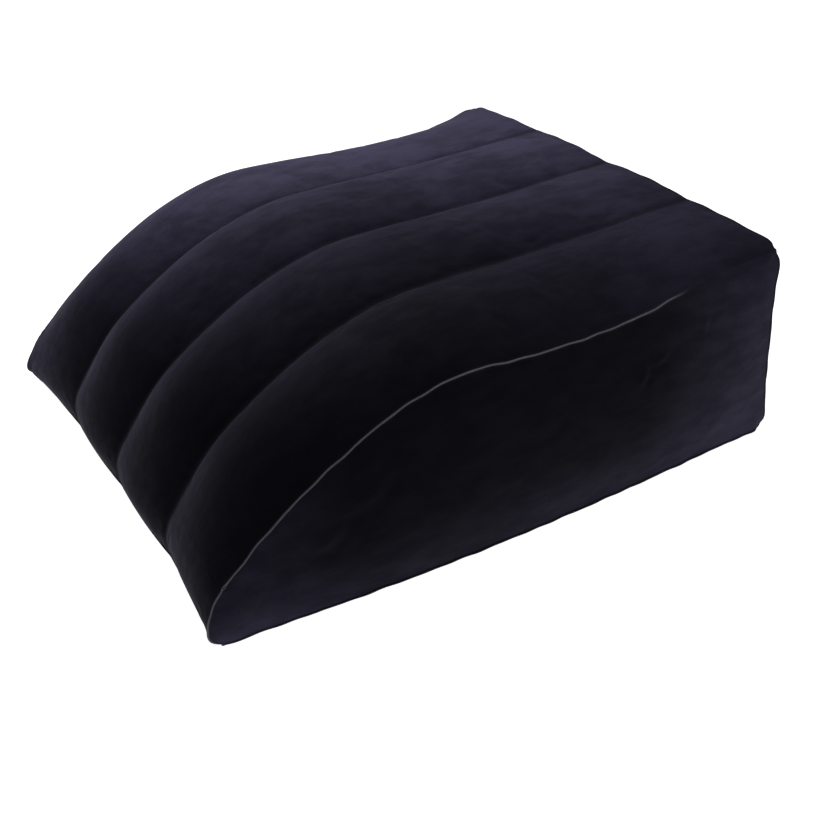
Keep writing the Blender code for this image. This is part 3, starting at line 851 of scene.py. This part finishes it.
def creased(key, grid):
    # Each fold is a bell-shaped valley with a lower ridge beside it, bent a little along its length.
    if key not in creases:
        return grid
    first, second, outward = faceAxes[key]
    for a, b, length, half, depth, turn in creases[key]:
        turn = math.radians(turn)
        du, dv = grid[..., first] - a, grid[..., second] - b
        along = du * math.cos(turn) + dv * math.sin(turn)
        aside = dv * math.cos(turn) - du * math.sin(turn) - 0.25 * along**2 / length
        valley = np.exp(-((aside / half) ** 2)) - 0.6 * np.exp(-(((aside - 1.7 * half) / half) ** 2))
        pressed = depth * valley * np.exp(-((along / length) ** 2))
        grid = grid - pressed[..., None] * np.array(outward, float)
    return grid


def buildPanels():
    fine = finePanels(buildSkin())
    frames = seamFrames(fine)
    for key, (node, finish) in panels.items():
        grid, weldMark = finned(creased(key, fine[key]), frames[key])
        rows, columns = grid.shape[:2]
        faces = quads(rows, columns)
        points = grid.reshape(-1, 3)
        if key == "rear":
            faces = faces[fromValve(points)[faces].min(axis=1) > skin["valveHole"]]
        made = meshFrom(node + "_sheet", points, faces[:, ::-1] if flipped[key] else faces)
        if key == "bottom":
            x, half = grid[..., 0], film["weldHalf"]
            strip = film["webMark"] * smooth(-fromGroove(grid[..., 1]), -half - 0.001, -half)
            strip = strip * smooth(x, *film["webFrom"]) * smooth(-x, *film["webTo"])
            weldMark = np.maximum(weldMark, strip)
        setAttribute(made, "weld", weldMark)
        # The share of painted light and shade, for the flock's colour.
        setAttribute(made, "paintedLightShare", paintedLightOf(key, grid))
        made.data.materials.append(finishes[finish])
        wall = made.modifiers.new("wall", "SOLIDIFY")
        wall.thickness = skin["sheet"]
        wall.offset = -1.0
        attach(made, "cushion")
        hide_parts(node)
    print("panels made")


buildPanels()


# Outlines are (radius, out) in metres from the valve's axis, which points out of the rear panel; up is +Z.
valveShape = {
    "steps": 120,
    "corner": 0.0004,
    "collar": [
        (0.0145, -0.0120), (0.0165, -0.0120), (0.0165, -0.0026), (0.0300, -0.0023), (0.0300, -0.0011),
        (0.0165, -0.0011), (0.0165, 0.0045), (0.0176, 0.0049), (0.0176, 0.0057), (0.0173, 0.0060),
        (0.0145, 0.0060),
    ],
    "plate": [
        (0.0166, 0.0001), (0.0166, 0.0004), (0.0203, 0.0004), (0.0206, 0.0010), (0.0225, 0.0010),
        (0.0229, 0.0015), (0.0233, 0.0010), (0.0255, 0.0010), (0.0259, 0.0015), (0.0263, 0.0010),
        (0.0285, 0.0010), (0.0290, 0.0006), (0.0290, 0.0001),
    ],
    "plugRing": [(0.0168, 0.0005), (0.0200, 0.0005), (0.0200, 0.0021), (0.0168, 0.0021)],
    "plug": [
        (0.0053, 0.0120), (0.0053, 0.0063), (0.0113, 0.0063), (0.0113, -0.0005), (0.0060, -0.0005),
        (0.0060, -0.0020), (0.0129, -0.0020), (0.0131, 0.0002), (0.0137, 0.0009), (0.0134, 0.0016),
        (0.0135, 0.0030), (0.0140, 0.0037), (0.0138, 0.0044), (0.0141, 0.0063), (0.0190, 0.0063),
        (0.0190, 0.0078), (0.0185, 0.0083), (0.0172, 0.0083), (0.0168, 0.0079), (0.0150, 0.0079),
        (0.0146, 0.0083), (0.0076, 0.0083), (0.0076, 0.0106), (0.0083, 0.0110), (0.0083, 0.0120),
    ],
    "capRing": [(0.0079, 0.0087), (0.0104, 0.0087), (0.0104, 0.0101), (0.0079, 0.0101)],
    "cap": [
        (0, 0.0075), (0.0042, 0.0075), (0.0050, 0.0123), (0.0100, 0.0123), (0.0100, 0.0139),
        (0.0096, 0.0143), (0.0082, 0.0143), (0.0077, 0.0138), (0.0030, 0.0138), (0.0026, 0.0141),
        (0, 0.0142),
    ],
    "flap": [
        (0, -0.0031), (0.0086, -0.0031), (0.0086, -0.0023), (0.0060, -0.0023), (0.0057, -0.0025),
        (0, -0.0025),
    ],
    "knurl": 0.00016,  # half the depth of the knurls
    "ridge": 0.00028,
    "ridgeStep": 0.0013,
}

# Straps: half the width, half the thickness, and then the run as (up, out).
valveStraps = {
    "plugStrap": (0.0034, 0.0006, [
        (0.0178, 0.0013), (0.0205, 0.0019), (0.0235, 0.0021), (0.0256, 0.0026), (0.0264, 0.0044),
        (0.0263, 0.0060),
    ]),
    "plugEar": (0.0034, 0.0008, [(0.0170, 0.0073), (0.0200, 0.0073), (0.0262, 0.0071)]),
    "plugTab": (0.0049, 0.0006, [(-0.0172, 0.0072), (-0.0205, 0.0073), (-0.0238, 0.0076)]),
    "capStrap": (0.0022, 0.0005, [
        (0.0092, 0.0094), (0.0120, 0.0094), (0.0135, 0.0097), (0.0139, 0.0108), (0.0138, 0.0120),
    ]),
    "capEar": (0.0022, 0.0006, [(0.0085, 0.0131), (0.0110, 0.0131), (0.0139, 0.0129)]),
    "capTab": (0.0031, 0.0006, [(-0.0086, 0.0131), (-0.0110, 0.0131), (-0.0137, 0.0134)]),
    "flapTail": (0.0020, 0.0004, [(0.0074, -0.0027), (0.0084, -0.0027), (0.0096, -0.0027)]),
}


def rounded(outline, closed):
    # Each corner becomes an arc: the quadratic curve from a point before it, by way of it, to a point after.
    points = np.array(outline, float)
    before, after = np.roll(points, 1, axis=0), np.roll(points, -1, axis=0)

    def towards(other):
        reach = np.minimum(valveShape["corner"], 0.4 * np.linalg.norm(other - points, axis=1))
        return points + unit(other - points) * reach[:, None]

    start, end = towards(before), towards(after)
    t = np.linspace(0, 1, 5)[None, :, None]
    arcs = (1 - t) ** 2 * start[:, None] + 2 * t * (1 - t) * points[:, None] + t**2 * end[:, None]
    if closed:
        return arcs.reshape(-1, 2)
    return np.concatenate([points[:1], arcs[1:-1].reshape(-1, 2), points[-1:]])


def inValve(side, up, out):
    # Points from their distances to the side, up and out of the valve's middle.
    return np.stack([valveX + out, valveY + side, valveZ + up], axis=-1)


def turnedGrid(outline, closed=True, knurls=0, knurlFrom=1.0):
    # The outline turned about the valve's axis. Knurls are cos waves round it, on what lies beyond knurlFrom.
    path = rounded(outline, closed)
    angle = np.linspace(0, 2 * math.pi, valveShape["steps"], endpoint=False)[None, :]
    cut = valveShape["knurl"] * (1 + np.cos(knurls * angle))
    radius = path[:, :1] - cut * (path[:, :1] > knurlFrom) * bool(knurls)
    out = np.broadcast_to(path[:, 1:], radius.shape)
    return inValve(radius * np.sin(angle), radius * np.cos(angle), out)


def shoulder(sine):
    # A sine made squarer.
    return np.sign(sine) * np.abs(sine) ** 0.55


def strapGrid(half, halfThick, run, ridged=False):
    # A flat strap along its run: a square-shouldered oval section that shrinks to a point at both ends as the
    # quarter of a circle does. Ridges are raised sines over the outer half of a pull tab.
    line = catmull(np.array(run), np.linspace(0, len(run) - 1, 120))
    length = runOf(line)
    share = 0.5 - 0.5 * np.cos(np.linspace(0, math.pi, 61))
    at = share * length[-1]
    line = np.stack([np.interp(at, length, line[:, k]) for k in range(2)], axis=1)
    near = np.clip(np.minimum(at, length[-1] - at) / (0.8 * half), 0, 1)
    close = np.sqrt(1 - (1 - near) ** 2)
    normal = leftNormal(line) * (1 if line[-1, 0] > line[0, 0] else -1)
    turn = np.linspace(0, 2 * math.pi, 32, endpoint=False)[None, :]
    side = half * close[:, None] * shoulder(np.cos(turn))
    thick = halfThick * (close**0.4)[:, None] * shoulder(np.sin(turn))
    if ridged:
        raised = np.clip(np.sin(2 * math.pi * at / valveShape["ridgeStep"]), 0, 1)
        raised = raised * smooth(share, 0.35, 0.45)
        thick = thick + valveShape["ridge"] * (raised * near)[:, None] * np.clip(np.sin(turn), 0, 1)
    up = line[:, :1] + normal[:, :1] * thick
    out = line[:, 1:] + normal[:, 1:] * thick
    return inValve(side, up, out)


def closedPart(grid, closedRows):
    # Points and faces of a grid that joins itself round its columns, and round its rows if closedRows. Rows
    # that shrink to one point become that point.
    rows, columns = grid.shape[:2]
    flat = grid.reshape(-1, 3)
    _, first, back = np.unique(np.round(flat, 7), axis=0, return_index=True, return_inverse=True)
    number = back.reshape(rows, columns)
    number = np.concatenate([number, number[:, :1]], axis=1)
    if closedRows:
        number = np.concatenate([number, number[:1]])
    cells = np.stack([number[:-1, :-1], number[:-1, 1:], number[1:, 1:], number[1:, :-1]], axis=-1)
    cells = cells.reshape(-1, 4)
    points = flat[first]
    corners = points[cells] - points.mean(axis=0)
    volume = np.einsum("ij,ij->i", corners[:, 0], np.cross(corners[:, 1], corners[:, 2])).sum()
    volume += np.einsum("ij,ij->i", corners[:, 0], np.cross(corners[:, 2], corners[:, 3])).sum()
    startPole, endPole = cells[:, 0] == cells[:, 1], cells[:, 2] == cells[:, 3]
    whole = cells[~startPole & ~endPole]
    startTips = cells[startPole & ~endPole][:, [0, 2, 3]]
    endTips = cells[endPole & ~startPole][:, [0, 1, 2]]
    tips = np.concatenate([startTips, endTips])
    if volume < 0:  # inside out
        whole, tips = whole[:, ::-1], tips[:, ::-1]
    return points, whole, tips


def joined(name, body, node, parts):
    # One object from several closed parts, riding its body and standing for its node.
    points, faces, start = [], [], 0
    for grid, closedRows in parts:
        own, whole, tips = closedPart(grid, closedRows)
        points.append(own)
        faces += (whole + start).tolist() + (tips + start).tolist()
        start += len(own)
    mesh = bpy.data.meshes.new(name)
    mesh.from_pydata(np.concatenate(points).tolist(), [], faces)
    mesh.polygons.foreach_set("use_smooth", np.ones(len(mesh.polygons), bool))
    mesh.update()
    made = bpy.data.objects.new(name, mesh)
    bpy.context.scene.collection.objects.link(made)
    made.data.materials.append(finishes["vinyl"])
    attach(made, body)
    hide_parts(node)
    return made


def ring(key, **ribs):
    return turnedGrid(valveShape[key], **ribs), True


def disc(key, **ribs):
    return turnedGrid(valveShape[key], closed=False, **ribs), False


def strap(key, ridged=False):
    return strapGrid(*valveStraps[key], ridged=ridged), False


def buildValve():
    collar = [ring("collar"), ring("plate", knurls=90, knurlFrom=0.0284)]
    joined("valveCollar", "cushion", "valve_collar", collar)
    joined("plugTether", "cushion", "plug_tether", [ring("plugRing"), strap("plugStrap")])
    plug = [ring("plug", knurls=60, knurlFrom=0.0186), strap("plugEar"), strap("plugTab", ridged=True)]
    joined("deflationPlug", "plug", "deflation_plug", plug)
    joined("capTether", "plug", "cap_tether", [ring("capRing"), strap("capStrap")])
    cap = [disc("cap", knurls=40, knurlFrom=0.0097), strap("capEar"), strap("capTab", ridged=True)]
    joined("inflationCap", "cap", "inflation_cap", cap)
    joined("checkFlap", "flap", "check_flap", [disc("flap"), strap("flapTail")])
    print("valve made")


buildValve()

# The webs and the tapes show inside through the open valve. What else is left of the frame is valve.
for node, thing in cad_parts.items():
    inside = node.startswith(("web", "top_tape", "bottom_tape"))
    for held in thing.material_slots:
        held.material = finishes["film" if inside else "vinyl"]

studio = {
    "worldLight": 0.05,
    "floorTone": 0.55,
    "floorGlow": 1.0,
    "floorHalf": 6,
    "floorDrop": 0.0004,
    "lamps": {
        "kneeLamp": {"at": (0.02, 0.38, 0.62), "size": 0.40, "power": 2.5},
        "topLamp": {"at": (0.1, 0.2, 2.0), "size": 1.6, "power": 22},
        "sideLamp": {"at": (1.2, -0.9, 0.25), "size": 0.6, "power": 3},
    },
    "aimHeight": 0.1,
    "sensor": 36,
    "lens": 49.52,
    "eye": (-0.5227, -0.8899, 0.6424),
    "pitch": 32.2,
    "heading": 31.92,
}


def buildStudio():
    half, drop, tone = studio["floorHalf"], studio["floorDrop"], studio["floorTone"]
    corners = [(-half, -half, -drop), (half, -half, -drop), (half, half, -drop), (-half, half, -drop)]
    floor = meshFrom("floor", corners, np.array([[0, 1, 2, 3]]))
    paper = Finish(
        "paperFloor",
        {
            "Base Color": (tone, tone, tone, 1),
            "Roughness": 0.9,
            "Specular IOR Level": 0.0,
            "Emission Color": (1, 1, 1, 1),
            "Emission Strength": studio["floorGlow"],
        },
    )
    floor.data.materials.append(paper.material)
    # The world lights faintly, and is plain white behind the floor.
    world = bpy.data.worlds.new("studio")
    world.use_nodes = True
    tree = world.node_tree
    tree.nodes["Background"].inputs[0].default_value = (1, 1, 1, 1)
    seen = tree.nodes.new("ShaderNodeMapRange")
    tree.links.new(tree.nodes.new("ShaderNodeLightPath").outputs["Is Camera Ray"], seen.inputs["Value"])
    seen.inputs["To Min"].default_value = studio["worldLight"]
    tree.links.new(seen.outputs[0], tree.nodes["Background"].inputs[1])
    bpy.context.scene.world = world
    for name, lamp in studio["lamps"].items():
        light = bpy.data.lights.new(name, "AREA")
        light.energy = lamp["power"]
        light.size = lamp["size"]
        holder = bpy.data.objects.new(name, light)
        bpy.context.scene.collection.objects.link(holder)
        holder.location = lamp["at"]
        aim = Vector((0, 0, studio["aimHeight"])) - Vector(lamp["at"])
        holder.rotation_euler = aim.to_track_quat("-Z", "Y").to_euler()
    camera = bpy.data.objects.new("camera", bpy.data.cameras.new("camera"))
    bpy.context.scene.collection.objects.link(camera)
    camera.data.sensor_width = studio["sensor"]
    camera.data.lens = studio["lens"]
    camera.location = studio["eye"]
    camera.rotation_euler = (math.radians(90 - studio["pitch"]), 0, math.radians(-studio["heading"]))
    bpy.context.scene.camera = camera
    bpy.context.scene.view_settings.view_transform = "Standard"
    print("studio made")


buildStudio()
